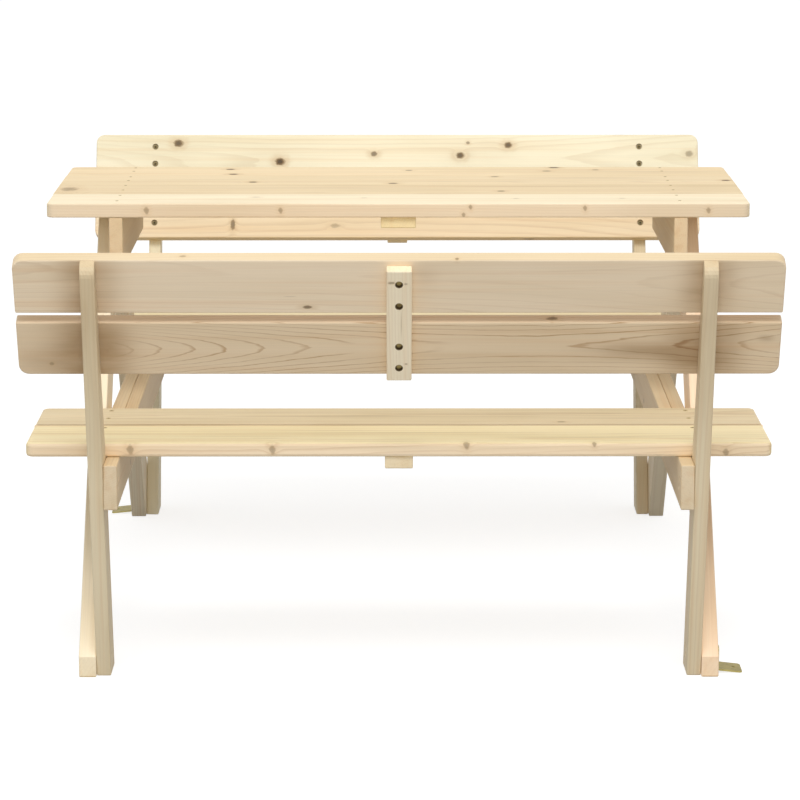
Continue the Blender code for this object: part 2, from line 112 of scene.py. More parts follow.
class Graph:
    """Adds nodes to a tree, and links each input that is given a socket."""

    def __init__(self, tree):
        self.tree = tree

    def feed(self, socket, value):
        """Link a socket to an input, or set the input to a value."""
        if isinstance(value, bpy.types.NodeSocket):
            self.tree.links.new(value, socket)
        else:
            socket.default_value = value

    def add(self, kind, inputs=None, **settings):
        """Add a node with its settings and inputs."""
        node = self.tree.nodes.new(kind)
        for key, value in settings.items():
            setattr(node, key, value)
        for key, value in (inputs or {}).items():
            self.feed(node.inputs[key], value)
        return node

    def math(self, operation, *values):
        """Return the result of a Math node."""
        return self.add("ShaderNodeMath", dict(enumerate(values)), operation=operation).outputs[0]

    def vector(self, operation, *values):
        """Return the vector that a Vector Math node gives."""
        return self.add("ShaderNodeVectorMath", dict(enumerate(values)), operation=operation).outputs[0]

    def number(self, operation, *values):
        """Return the number that a Vector Math node gives."""
        return self.add("ShaderNodeVectorMath", dict(enumerate(values)), operation=operation).outputs["Value"]

    def step(self, value, low, high, to_low=0.0, to_high=1.0):
        """Return a value eased from one range to another."""
        node = self.add("ShaderNodeMapRange", {"Value": value, "From Min": low, "From Max": high,
                                               "To Min": to_low, "To Max": to_high},
                        interpolation_type="SMOOTHSTEP")
        return node.outputs["Result"]

    def spread(self, value, low, high):
        """Return a 0 to 1 value spread evenly between two others."""
        return self.math("MULTIPLY_ADD", value, high - low, low)

    def noise(self, place, scale, detail, roughness, stretch=(1, 1, 1)):
        """Return a noise of 0 to 1, made finer by a factor along each axis."""
        vector = self.vector("MULTIPLY", place, stretch)
        return self.add("ShaderNodeTexNoise", {"Vector": vector, "Scale": scale, "Detail": detail,
                                               "Roughness": roughness}).outputs[0]

    def mix(self, factor, first, second, blend="MIX"):
        """Return two colours mixed."""
        node = self.add("ShaderNodeMix", data_type="RGBA", blend_type=blend)
        for key, value in ((0, factor), (6, first), (7, second)):
            self.feed(node.inputs[key], value)
        return node.outputs[2]


def new_group(name, inputs, outputs):
    """Return a node group, its graph, its inputs and its output node."""
    tree = bpy.data.node_groups.new(name, "ShaderNodeTree")
    for label, kind in inputs:
        tree.interface.new_socket(label, in_out="INPUT", socket_type="NodeSocket" + kind)
    for label, kind in outputs:
        tree.interface.new_socket(label, in_out="OUTPUT", socket_type="NodeSocket" + kind)
    graph = Graph(tree)
    given = tree.nodes.new("NodeGroupInput").outputs
    return tree, graph, given, tree.nodes.new("NodeGroupOutput").inputs


# Tones of bare fir
IVORY = srgb(255, 245, 214)
PALE = srgb(252, 237, 204)
CREAM = srgb(249, 226, 184)
GREYISH = srgb(243, 221, 180)
SAND = srgb(238, 216, 175)
STRAW = srgb(229, 211, 174)
YELLOW = srgb(255, 238, 192)
BUFF = srgb(240, 217, 183)
DUN = srgb(239, 223, 190)
PEACH = srgb(255, 232, 195)
BLUSH = srgb(255, 240, 210)
PINK = srgb(255, 228, 196)
ROSE = srgb(251, 231, 201)
AMBER = srgb(232, 208, 168)

# What a grey cloud, the heart, the late wood, and stains and painted shade each do to a tone
GREY_SHIFT = (0.90, 0.88, 0.83, 1.0)
HEART_SHIFT = (0.86, 0.73, 0.60, 1.0)
LATE_SHIFT = (0.60, 0.46, 0.32, 1.0)
STAIN_AND_SHADE_SHIFT = (0.58, 0.51, 0.43, 1.0)

# Colours of knots, of the painted shade in and round the bores, and of flecks and pores
KNOT_RIM = srgb(132, 104, 64)
KNOT_CORE = srgb(84, 66, 42)
KNOT_HALO = srgb(208, 172, 122)
BORE_SHADE = srgb(82, 66, 40)
PORE = srgb(150, 118, 80)

# How ragged a knot's outline is, how far it swings the grain round it, and how fast that fades
KNOT_NOISE = (130.0, 3.0, 0.6, (0.6, 1, 1))
KNOT_WOBBLE = 0.75
KNOT_PULL = 0.9
KNOT_PULL_FADE = 0.16

# The noises in a board: scale, detail, roughness, and how much finer they run along, across and through it
SWAY_Y_NOISE = (1.7, 2.0, 0.5, (1, 7, 7))
SWAY_Z_NOISE = (1.3, 2.0, 0.5, (1, 5, 5))
RIPPLE_NOISE = (9.0, 3.0, 0.6, (1, 9, 9))
UNEVEN_NOISE = (3.0, 1.0, 0.5, (0.3, 9, 9))
FAINT_NOISE = (2.1, 2.0, 0.5, (1, 5, 5))
CLOUD_NOISE = (2.6, 2.0, 0.5, (1, 4, 4))
STREAK_NOISE = (1.1, 3.0, 0.6, (1, 58, 58))
BAND_NOISE = (0.9, 2.0, 0.5, (1, 27, 27))
FIBRE_NOISE = (7.0, 3.0, 0.65, (1, 62, 62))
RAGGED_NOISE = (5.0, 3.0, 0.6, (1, 6, 6))
FLECK_NOISE = (13.0, 1.0, 0.5, (1, 24, 24))
PORE_NOISE = (420.0, 2.0, 0.6, (0.2, 1, 1))

# Steps through the noises from one seed to the next, and from one sway to the other
SEED_STEP = (7.13, 3.71, 5.29)
SWAY_STEP = (3.1, 9.2, 4.4)

# How far the rings stray from round: across, through the board, in small ripples, and in years
SWAY_Y = 0.007
SWAY_Z = 0.008
RIPPLE = 0.0013
UNEVEN_YEARS = 0.9

# A year's dark line, how dark it is from year to year, and how faint it is in places and in end grain
LINE_FULL = 0.93
LINE_DROP = 0.94
YEAR_TONES = (0.45, 1.0)
FAINT_RANGE = (0.25, 0.65, 0.40, 1.0)
END_LINE_LOSS = 0.55

# The range over which each noise comes to show, and how strongly it then does
CLOUD_RANGE = (0.42, 0.72)
CLOUD_DEPTH = 0.60
STREAK_RANGE = (0.46, 0.72)
STREAK_DEPTH = 0.40
BAND_RANGE = (0.45, 0.70)
BAND_DEPTH = 0.50
FLECK_RANGE = (0.80, 0.86)
FLECK_DEPTH = 0.35
PORE_RANGE = (0.58, 0.72)
PORE_DEPTH = 0.14

# How far from the pith the heart's tone begins and is full, the shades of fibres and streaks, and how ragged
# stains and painted shade are
HEART_RANGE = (0.050, 0.004)
FIBRE_SHADES = (0.94, 1.06)
STREAK_SHADES = (0.965, 1.035)
STAIN_AND_SHADE_SPREAD = (0.35, 1.65)

# A knot's halo, outline, core and dip, each over a range of its radii, and the rings in its core
HALO_RANGE = (3.2, 1.0)
HALO_DEPTH = 0.38
OUTLINE_RANGE = (1.35, 0.70)
CORE_RANGE = (0.10, 0.85)
DIP_RANGE = (1.25, 1.0)
CORE_RING_RATE = 15.0
CORE_RING_DEPTH = 0.15

# Roughness of the fibres, and what lines and end grain add to it
FIBRE_ROUGHNESS = (0.50, 0.70)
LINE_ROUGHNESS = -0.08
END_ROUGHNESS = 0.12

# Shares of the relief
LINE_HEIGHT = 0.30
FIBRE_HEIGHT = 0.55
DIP_HEIGHT = -0.30
PORE_HEIGHT = 0.5

# How squarely a face has to look along the grain to be an end, or across the board to be a sawn edge
END_RANGE = (0.55, 0.90)
SIDE_RANGE = (0.40, 0.95)

# The shaders: gloss of the fir, strength and depth of both reliefs, and how the zinc is mottled
FIR_SPECULAR = 0.30
FIR_BUMP = 0.5
FIR_RELIEF = 0.0004
ZINC_BUMP = 0.25
ZINC_RELIEF = 0.0002
ZINC_CLOUD_NOISE = (90.0, 4.0, 0.6)
ZINC_GRAIN_NOISE = (900.0, 2.0, 0.6)
ZINC_CLOUD_RANGE = (0.35, 0.75)
ZINC_ROUGH_SPREAD = 0.18


def make_knot_group():
    """Make the group that says how near a point is to a knot, and how far the grain swings round it."""
    tree, graph, given, out = new_group(
        "knot", (("Place", "Vector"), ("Origin", "Vector"), ("Axis", "Vector"), ("Stretch", "Vector"),
                 ("Size", "Float")),
        (("Nearness", "Float"), ("Swing", "Float")))
    offset = graph.vector("SUBTRACT", given["Place"], given["Origin"])
    along = graph.number("DOT_PRODUCT", offset, given["Axis"])
    on_axis = graph.add("ShaderNodeVectorMath", {0: given["Axis"], "Scale": along}, operation="SCALE")
    aside = graph.vector("SUBTRACT", offset, on_axis.outputs[0])
    aside = graph.vector("MULTIPLY", aside, given["Stretch"])
    reach = graph.math("DIVIDE", graph.number("LENGTH", aside), given["Size"])
    wobble = graph.spread(graph.noise(offset, *KNOT_NOISE), -KNOT_WOBBLE, KNOT_WOBBLE)
    reach = graph.math("ADD", reach, wobble)
    graph.feed(out["Nearness"], reach)
    fade = graph.math("MULTIPLY", graph.math("MULTIPLY", reach, reach), -KNOT_PULL_FADE)
    fade = graph.math("EXPONENT", fade)
    graph.feed(out["Swing"], graph.math("MULTIPLY", fade, graph.math("MULTIPLY", given["Size"], KNOT_PULL)))
    return tree


def make_patch_group():
    """Make the group that says how strongly a soft patch shows at a place in a board: a stain, painted shade or
    a place without rings.
    """
    tree, graph, given, out = new_group(
        "patch", (("Place", "Vector"), ("Origin", "Vector"), ("Squeeze", "Vector"), ("Depth", "Float")),
        (("Patch", "Float"),))
    offset = graph.vector("SUBTRACT", given["Place"], given["Origin"])
    offset = graph.vector("MULTIPLY", offset, given["Squeeze"])
    reach = graph.number("DOT_PRODUCT", offset, offset)
    fade = graph.math("EXPONENT", graph.math("MULTIPLY", reach, -1.0))
    graph.feed(out["Patch"], graph.math("MULTIPLY", fade, given["Depth"]))
    return tree


def make_fir_group():
    """Make the group that paints fir at a place in a board, from the board's own log."""
    numbers = ("Seed", "Pith Y", "Pith Z", "Drift", "Bow", "Bow Place", "Ring", "Lines", "Sharp", "Sway",
               "Warm", "Knot", "Knot Tone", "Swing", "Patch", "Calm", "Bore", "Side", "End")
    inputs = [("Place", "Vector"), ("Tone", "Color"), ("Side Shift", "Color"), ("End Shift", "Color")]
    inputs += [(name, "Float") for name in numbers]
    tree, graph, given, out = new_group(
        "fir", inputs, (("Color", "Color"), ("Roughness", "Float"), ("Height", "Float")))
    step, math_, mix, noise = graph.step, graph.math, graph.mix, graph.noise
    place = given["Place"]
    seed = graph.add("ShaderNodeVectorMath", {0: SEED_STEP, "Scale": given["Seed"]}, operation="SCALE")
    spot = graph.vector("ADD", place, seed.outputs[0])
    axes = graph.add("ShaderNodeSeparateXYZ", {0: place}).outputs
    end = given["End"]

    # The log's rings, bent by its bow, its drift across the board and its uneven growth
    sway = given["Sway"]
    from_bow = math_("SUBTRACT", axes[0], given["Bow Place"])
    pith_z = math_("MULTIPLY_ADD", math_("MULTIPLY", from_bow, from_bow), given["Bow"], given["Pith Z"])
    pith_y = math_("MULTIPLY_ADD", axes[0], given["Drift"], given["Pith Y"])
    sway_y = graph.spread(noise(spot, *SWAY_Y_NOISE), -SWAY_Y, SWAY_Y)
    sway_z = graph.spread(noise(graph.vector("ADD", spot, SWAY_STEP), *SWAY_Z_NOISE), -SWAY_Z, SWAY_Z)
    aside = math_("MULTIPLY_ADD", sway_y, sway, math_("SUBTRACT", axes[1], pith_y))
    deep = math_("MULTIPLY_ADD", sway_z, sway, math_("SUBTRACT", axes[2], pith_z))
    radius = math_("SQRT", math_("ADD", math_("MULTIPLY", aside, aside), math_("MULTIPLY", deep, deep)))
    radius = math_("ADD", radius, given["Swing"])
    ripple = graph.spread(noise(spot, *RIPPLE_NOISE), -RIPPLE, RIPPLE)
    years = math_("DIVIDE", math_("ADD", radius, ripple), given["Ring"])
    uneven = graph.spread(noise(spot, *UNEVEN_NOISE), -UNEVEN_YEARS, UNEVEN_YEARS)
    years = math_("MULTIPLY_ADD", uneven, sway, years)
    season = math_("FRACT", years)
    dark_line = step(season, given["Sharp"], LINE_FULL)
    dark_line = math_("MULTIPLY", dark_line, step(season, LINE_DROP, 1.0, 1.0, 0.0))
    year = math_("FLOOR", years)
    year_tone = graph.add("ShaderNodeTexWhiteNoise", {"W": year}, noise_dimensions="1D").outputs["Value"]
    line = math_("MULTIPLY", dark_line, graph.spread(year_tone, *YEAR_TONES))
    line = math_("MULTIPLY", line, step(noise(spot, *FAINT_NOISE), *FAINT_RANGE))

    # Broad tones, streaks and fibres along the grain
    cloud = noise(spot, *CLOUD_NOISE)
    streak = noise(spot, *STREAK_NOISE)
    band = noise(spot, *BAND_NOISE)
    fibre = noise(spot, *FIBRE_NOISE)
    clouded = math_("MULTIPLY", step(cloud, *CLOUD_RANGE), CLOUD_DEPTH)
    colour = mix(clouded, given["Tone"], GREY_SHIFT, "MULTIPLY")
    heart = math_("MULTIPLY", step(radius, *HEART_RANGE), given["Warm"])
    colour = mix(heart, colour, HEART_SHIFT, "MULTIPLY")
    streaked = math_("MULTIPLY", step(streak, *STREAK_RANGE), STREAK_DEPTH)
    colour = mix(streaked, colour, HEART_SHIFT, "MULTIPLY")
    banded = math_("MULTIPLY", step(band, *BAND_RANGE), BAND_DEPTH)
    colour = mix(banded, colour, GREY_SHIFT, "MULTIPLY")
    calm = math_("SUBTRACT", 1.0, math_("MINIMUM", given["Calm"], 1.0))
    drawn = math_("MULTIPLY", math_("MULTIPLY", line, given["Lines"]), calm)
    drawn = math_("MULTIPLY", drawn, math_("MULTIPLY_ADD", end, -END_LINE_LOSS, 1.0))
    colour = mix(drawn, colour, LATE_SHIFT, "MULTIPLY")
    shade = graph.spread(fibre, *FIBRE_SHADES)
    shade = math_("MULTIPLY", shade, graph.spread(streak, *STREAK_SHADES))
    colour = mix(1.0, colour, graph.add("ShaderNodeCombineColor", {0: shade, 1: shade, 2: shade}).outputs[0],
                 "MULTIPLY")

    # The sawn edges of a board differ a little from its faces
    colour = mix(given["Side"], colour, given["Side Shift"], "MULTIPLY")

    # Stains and painted shade with ragged edges, on all but the sawn edges, and short resin flecks
    ragged = graph.spread(noise(spot, *RAGGED_NOISE), *STAIN_AND_SHADE_SPREAD)
    patch = math_("MINIMUM", math_("MULTIPLY", given["Patch"], ragged), 1.0)
    patch = math_("MULTIPLY", patch, math_("SUBTRACT", 1.0, given["Side"]))
    colour = mix(patch, colour, STAIN_AND_SHADE_SHIFT, "MULTIPLY")
    fleck = step(noise(spot, *FLECK_NOISE), *FLECK_RANGE)
    colour = mix(math_("MULTIPLY", fleck, FLECK_DEPTH), colour, PORE)

    # Knots: a stained halo, and a dark rim and core with rings of their own
    near = given["Knot"]
    halo = math_("MULTIPLY", step(near, *HALO_RANGE), math_("MULTIPLY", given["Knot Tone"], HALO_DEPTH))
    colour = mix(halo, colour, KNOT_HALO)
    core_rings = math_("SINE", math_("MULTIPLY", near, CORE_RING_RATE))
    core_rings = graph.spread(core_rings, -CORE_RING_DEPTH, CORE_RING_DEPTH)
    core = mix(math_("ADD", step(near, *CORE_RANGE), core_rings), KNOT_CORE, KNOT_RIM)
    colour = mix(math_("MULTIPLY", step(near, *OUTLINE_RANGE), given["Knot Tone"]), colour, core)

    # The walls and rims of the bores get painted shade, and end grain is a little darker, with fine pores
    colour = mix(given["Bore"], colour, BORE_SHADE)
    pores = noise(spot, *PORE_NOISE)
    ends = mix(1.0, colour, given["End Shift"], "MULTIPLY")
    ends = mix(math_("MULTIPLY", step(pores, *PORE_RANGE), PORE_DEPTH), ends, PORE)
    colour = mix(end, colour, ends)
    graph.feed(out["Color"], colour)

    # Roughness and relief
    rough = graph.spread(fibre, *FIBRE_ROUGHNESS)
    rough = math_("MULTIPLY_ADD", line, LINE_ROUGHNESS, rough)
    graph.feed(out["Roughness"], math_("MULTIPLY_ADD", end, END_ROUGHNESS, rough))
    height = math_("MULTIPLY_ADD", line, LINE_HEIGHT, math_("MULTIPLY", fibre, FIBRE_HEIGHT))
    height = math_("MULTIPLY_ADD", step(near, *DIP_RANGE), DIP_HEIGHT, height)
    height = math_("MULTIPLY_ADD", math_("MULTIPLY", pores, end), PORE_HEIGHT, height)
    graph.feed(out["Height"], height)
    return tree


KNOT_GROUP = make_knot_group()
PATCH_GROUP = make_patch_group()
FIR_GROUP = make_fir_group()

# A board's log: where its pith lies, how it drifts and bows along the board, and how its rings look
Log = namedtuple("Log", "pith_y pith_z drift bow bow_place ring lines warm sharp sway",
                 defaults=(0.45, 1.0))

# A knot: its place along, across and through the board, its radius, its axis, its stretch and its darkness
Knot = namedtuple("Knot", "x y z size axis stretch tone", defaults=("Z", (0.75, 1, 1), 0.9))

# What each kind of axis is along, across and through a board. A round knot has none
AXES = {"Z": (0, 0, 1), "slant": (0.34, 0, 0.94), "round": (0, 0, 0)}

# A patch, which is a stain, painted shade or a place without rings: its place along and across the board, its
# half length and half width, and how strongly it shows
Patch = namedtuple("Patch", "x y length width depth")

# The boards whose stains and painted shade lie in their outer face, and how far in from it they fade
OUTER_STAINS_AND_SHADE = ("backrest_board_front_lower", "backrest_board_front_upper")
STAIN_REACH = 0.012

# The tone of each kind of piece, and of the boards that differ from their kind
KIND_TONES = (("tabletop_plank", CREAM), ("seat_plank", YELLOW), ("backrest_board", PALE),
              ("backrest_batten", PALE), ("leg", BLUSH), ("post", DUN), ("crossbeam", AMBER),
              ("tie_beam", AMBER), ("seat_beam", AMBER), ("tabletop_batten", YELLOW), ("seat_batten", PALE))
BOARD_TONES = {
    "tabletop_plank_1": PALE,
    "tabletop_plank_2": SAND,
    "tabletop_plank_3": GREYISH,
    "seat_plank_front_inner": STRAW,
    "seat_plank_back_inner": STRAW,
    "backrest_board_front_lower": BUFF,
    "backrest_board_front_upper": ROSE,
    "backrest_board_back_upper": IVORY,
    "backrest_board_back_lower": PEACH,
    "backrest_batten_front": BLUSH,
    "leg_front_right": PINK,
    # The far left post's paler tone is painted light, lifting it out of the shade it stands in under the table
    "post_back_left": IVORY,
}

# What the sawn edges, and the end grain, of each kind of piece do to its tone
SIDE_SHIFTS = (("tabletop_plank", (0.86, 0.81, 0.82, 1.0)), ("seat_plank", (0.98, 0.93, 1.06, 1.0)),
               # The lower front board's sawn edges are darkened less than the other boards': painted light,
               # lifting the shade in the slot between the front boards
               ("backrest_board_front_lower", (0.94, 0.92, 0.93, 1.0)),
               ("backrest_board", (0.79, 0.77, 0.69, 1.0)), ("", (1.0, 1.0, 1.0, 1.0)))
END_SHIFTS = (("leg", (1.0, 0.92, 0.72, 1.0)), ("seat_beam", (0.91, 0.95, 1.05, 1.0)),
              ("crossbeam", (1.0, 0.98, 1.0, 1.0)),
              ("", (0.97, 0.93, 0.88, 1.0)))

# The logs of the boards that don't get one by chance
LOGS = {
    "backrest_board_front_lower": Log(0.002, -0.0523, 0.012, 0.074, 0.207, 0.00425, 0.95, 0.0, 0.78, 0.24),
    "backrest_board_front_upper": Log(0.022, -0.0640, -0.030, 0.035, -0.12, 0.0062, 0.30, 0.2, 0.74, 0.8),
    "tabletop_plank_1": Log(0.030, -0.1200, 0.004, 0.004, 0.1, 0.0042, 0.16, 0.1),
    "tabletop_plank_2": Log(-0.060, -0.0900, -0.006, 0.010, -0.3, 0.0050, 0.40, 0.2),
    "backrest_board_back_upper": Log(-0.010, -0.0600, 0.015, 0.060, 0.05, 0.0075, 0.26, 0.2),
    "backrest_board_back_lower": Log(0.012, -0.0700, 0.0, 0.030, -0.2, 0.0065, 0.30, 0.2),
    "seat_plank_front_inner": Log(0.020, -0.0500, 0.020, 0.020, 0.1, 0.0060, 0.50, 0.3, 0.50, 1.0),
    "seat_plank_front_outer": Log(-0.030, -0.0600, -0.020, 0.030, -0.2, 0.0075, 0.36, 0.0, 0.50, 1.0),
    "leg_front_left": Log(0.050, -0.0900, 0.0, 0.010, 0.0, 0.0060, 0.10, 0.1),
    "leg_front_right": Log(0.050, -0.0900, 0.0, 0.010, 0.0, 0.0060, 0.10, 0.1),
}

# The forms of knot that repeat: in a plank's front edge, in its top face, and right through it
EDGE_KNOT = ("round", (1.15, 0.5, 0.8), 0.48)
FACE_KNOT = ("round", (0.6, 1, 1), 0.35)
THROUGH_KNOT = ("Z", (0.81, 1, 1))

# The knots of the boards that don't get any by chance
KNOTS = {
    "backrest_board_back_upper": [Knot(-0.459, 0.032, 0, 0.0070),
                                  Knot(-0.246, -0.008, 0, 0.0070, tone=1.0),
                                  Knot(-0.049, 0.009, 0, 0.0048, tone=0.75),
                                  Knot(0.1315, 0.0055, 0, 0.0060),
                                  Knot(0.148, 0.033, 0, 0.0026, tone=0.6),
                                  Knot(0.232, 0.028, 0, 0.0058),
                                  Knot(0.611, 0.009, 0, 0.0058, tone=0.5)],
    "backrest_board_back_lower": [Knot(-0.343, -0.024, 0, 0.0042, "Z", (1.0, 0.36, 1), 0.7),
                                  Knot(-0.1305, -0.026, 0, 0.0050, "Z", (0.55, 1.2, 1), 0.35),
                                  Knot(0.276, -0.0515, 0, 0.0040, "round", (0.4, 1, 1), 0.6)],
    "backrest_board_front_upper": [Knot(-0.1505, -0.0395, 0, 0.0026, "Z", (0.35, 1, 1), 0.75),
                                   Knot(-0.352, 0.0515, 0, 0.003, "round", (0.6, 1, 1), 0.4),
                                   Knot(0.094, 0.0515, 0.008, 0.003, "round", (1, 1, 1), 0.6)],
    "backrest_board_front_lower": [Knot(-0.575, -0.030, 0, 0.0026, tone=0.35),
                                   Knot(0.252, 0.0515, 0, 0.005, "round", (0.6, 1, 1), 0.7)],
    "backrest_batten_front": [Knot(0.085, -0.0120, 0.01, 0.0018, "Z", (1, 0.30, 1), 0.55),
                              Knot(0.083, 0.0110, 0.01, 0.0014, "Z", (1, 0.60, 1), 0.35),
                              Knot(-0.0735, 0.0115, 0.01, 0.0012, "Z", (1, 0.60, 1), 0.40)],
    "tabletop_plank_1": [Knot(-0.451, -0.066, 0, 0.0050, *EDGE_KNOT),
                         Knot(-0.211, -0.066, 0, 0.0042, *EDGE_KNOT),
                         Knot(0.129, -0.066, 0.006, 0.0034, *EDGE_KNOT),
                         Knot(0.1166, -0.066, -0.008, 0.0034, *EDGE_KNOT),
                         Knot(0.334, -0.066, 0.004, 0.0038, *EDGE_KNOT),
                         Knot(0.555, -0.066, 0, 0.0042, *EDGE_KNOT),
                         Knot(-0.258, 0.024, 0.0125, 0.0040, *FACE_KNOT),
                         Knot(-0.062, 0.013, 0.0125, 0.0030, *FACE_KNOT),
                         Knot(0.213, 0.004, 0.0125, 0.0030, *FACE_KNOT),
                         Knot(0.405, 0.007, 0.0125, 0.0030, *FACE_KNOT)],
    "tabletop_plank_2": [Knot(-0.607, 0.003, 0, 0.0260, "Z", (1.90, 1, 1), 0.50),
                         Knot(0.189, -0.026, 0, 0.0062, "Z", (0.87, 1, 1), 0.74)],
    "tabletop_plank_3": [Knot(-0.272, -0.029, 0, 0.0066, "Z", (0.87, 1, 1), 1.0),
                         Knot(-0.010, -0.049, 0, 0.0080, "Z", (0.94, 1, 1), 0.74),
                         Knot(0.183, 0.050, 0, 0.0062, *THROUGH_KNOT, 0.59),
                         Knot(0.616, -0.006, 0, 0.0068, *THROUGH_KNOT, 1.0)],
    "tabletop_plank_4": [Knot(-0.314, -0.045, 0, 0.0068, *THROUGH_KNOT, 1.0),
                         Knot(-0.323, 0.030, 0, 0.0066, *THROUGH_KNOT, 1.0),
                         Knot(0.285, 0.002, 0, 0.0068, *THROUGH_KNOT, 0.59),
                         Knot(0.301, 0.055, 0, 0.0080, *THROUGH_KNOT, 0.94),
                         Knot(0.380, 0.020, 0, 0.0051, *THROUGH_KNOT, 0.64),
                         Knot(0.021, 0.012, 0, 0.0062, "Z", (0.94, 1, 1), 0.59)],
    "seat_plank_front_outer": [Knot(-0.4535, -0.0763, 0, 0.0062, *EDGE_KNOT),
                               Knot(-0.2136, -0.0763, 0, 0.0058, *EDGE_KNOT),
                               Knot(0.1138, -0.0763, 0.008, 0.0056, *EDGE_KNOT),
                               Knot(0.3295, -0.0763, 0.010, 0.0040, *EDGE_KNOT),
                               Knot(0.5518, -0.0763, -0.005, 0.0054, *EDGE_KNOT)],
    "seat_plank_front_inner": [Knot(0.2824, -0.052, 0, 0.0045, "Z", (0.6, 1, 1), 0.5)],
}

# The stains and painted shade of each board that has any
STAINS_AND_PAINTED_SHADE = {
    # In both front backrest boards, the patches from 0.47 to 0.55 either side of the middle are painted shade
    # beside the front posts
    "backrest_board_front_lower": [Patch(-0.470, -0.010, 0.034, 0.070, 0.50),
                                   Patch(-0.522, -0.005, 0.054, 0.200, 0.95),
                                   Patch(0.485, -0.004, 0.050, 0.055, 0.95),
                                   Patch(0.400, -0.004, 0.090, 0.018, 0.80),
                                   Patch(0.545, 0.010, 0.030, 0.080, 0.40),
                                   Patch(0.605, 0.020, 0.014, 0.006, 0.60),
                                   Patch(-0.590, -0.025, 0.050, 0.026, 0.40)],
    "backrest_board_front_upper": [Patch(-0.522, -0.004, 0.036, 0.200, 0.76),
                                   Patch(-0.475, 0.004, 0.026, 0.060, 0.34),
                                   Patch(0.492, -0.002, 0.032, 0.200, 0.66),
                                   Patch(0.534, 0.010, 0.022, 0.060, 0.30),
                                   Patch(0.300, 0.000, 0.300, 0.200, 0.11),
                                   Patch(0.040, 0.020, 0.024, 0.024, 0.24)],
    "backrest_board_back_upper": [Patch(-0.246, -0.004, 0.100, 0.040, 0.12),
                                  Patch(0.170, 0.015, 0.100, 0.040, 0.12),
                                  Patch(-0.470, 0.020, 0.080, 0.030, 0.12)],
    "backrest_batten_front": [Patch(0.006, 0.0036, 0.022, 0.0010, 0.70)],
    # The posts' patches are painted shade, darkening the stretch above the seat
    "post_front_left": [Patch(0.300, 0.0, 0.200, 0.300, 0.46)],
    "post_front_right": [Patch(0.300, 0.0, 0.200, 0.300, 0.58)],
    "tabletop_plank_3": [Patch(0.400, 0.0, 0.250, 0.100, 0.10),
                         Patch(0.360, 0.030, 0.120, 0.008, 0.25),
                         Patch(0.120, -0.020, 0.160, 0.007, 0.20),
                         Patch(-0.380, 0.010, 0.120, 0.007, 0.18)],
    "tabletop_plank_4": [Patch(0.450, 0.0, 0.200, 0.100, 0.12),
                         Patch(0.480, -0.010, 0.120, 0.008, 0.28),
                         Patch(0.080, 0.030, 0.200, 0.008, 0.18)],
    "tabletop_plank_2": [Patch(0.500, 0.0, 0.160, 0.100, 0.10),
                         Patch(-0.120, 0.020, 0.220, 0.010, 0.18),
                         Patch(0.240, 0.036, 0.160, 0.008, 0.24)],
    # The full-length patch along the edge where the front seat planks meet is painted shade of the gap between
    # the planks
    "seat_plank_front_outer": [Patch(0.0, 0.0763, 5.0, 0.0050, 0.95),
                               Patch(-0.300, -0.020, 0.120, 0.006, 0.24),
                               Patch(0.050, 0.010, 0.200, 0.005, 0.28),
                               Patch(0.350, -0.030, 0.150, 0.006, 0.24),
                               Patch(-0.100, 0.030, 0.120, 0.004, 0.24)],
    # Its first patch, along the edge next to the outer plank, is painted shade of the gap between the planks
    "seat_plank_front_inner": [Patch(0.0, -0.0763, 5.0, 0.0050, 0.95),
                               Patch(0.350, 0.010, 0.300, 0.016, 0.14),
                               Patch(-0.250, 0.030, 0.300, 0.012, 0.12),
                               Patch(-0.120, 0.0, 0.150, 0.006, 0.36),
                               Patch(0.140, 0.020, 0.100, 0.005, 0.34),
                               Patch(0.420, -0.020, 0.120, 0.006, 0.30),
                               Patch(-0.420, -0.020, 0.120, 0.006, 0.24)],
}

# Places where a board shows no rings
CALMS = {
    "backrest_board_front_lower": [Patch(-0.560, 0, 0.130, 0.2, 1.3),
                                   Patch(-0.055, 0, 0.045, 0.022, 1.3),
                                   Patch(0.098, 0, 0.050, 0.022, 1.2)],
    "backrest_board_front_upper": [Patch(-0.300, 0, 0.300, 0.030, 0.6),
                                   Patch(0.300, -0.010, 0.260, 0.040, 0.75)],
}


def board_axes(item):
    """Return a board's rotation, middle and half size, read from its mesh."""
    mesh = item.data
    corners = [item.matrix_world @ v.co for v in mesh.vertices]
    sides = {}
    for face in mesh.polygons:
        key = tuple(round(abs(c), NORMAL_DIGITS) for c in face.normal)
        area, normal = sides.get(key, (0.0, None))
        sides[key] = (area + face.area, normal or face.normal.copy())
    through = max(sides.values(), key=lambda side: side[0])[1]
    faces_of = {}
    for face in mesh.polygons:
        for key in face.edge_keys:
            corner_places = [tuple(round(c, CORNER_DIGITS) for c in mesh.vertices[i].co) for i in key]
            ends = tuple(sorted(corner_places))
            faces_of.setdefault(ends, []).append(face.normal)
    longest = Vector((0, 0, 0))
    for ends, normals in faces_of.items():
        flat = len(normals) == 2 and normals[0].dot(normals[1]) > LEVEL_FACES
        edge = Vector(ends[1]) - Vector(ends[0])
        if not flat and edge.length > longest.length:
            longest = edge
    grain = facing_up(longest.normalized())
    across = facing_up(through.cross(grain).normalized())
    turn = Matrix((grain, across, grain.cross(across))).transposed()
    own = [turn.transposed() @ c for c in corners]
    low = Vector([min(c[i] for c in own) for i in range(3)])
    high = Vector([max(c[i] for c in own) for i in range(3)])
    return turn, turn @ ((low + high) / 2), (high - low) / 2


def facing_up(direction):
    """Return a direction with its largest part positive."""
    largest = max(direction, key=abs)
    return direction if largest > 0 else -direction


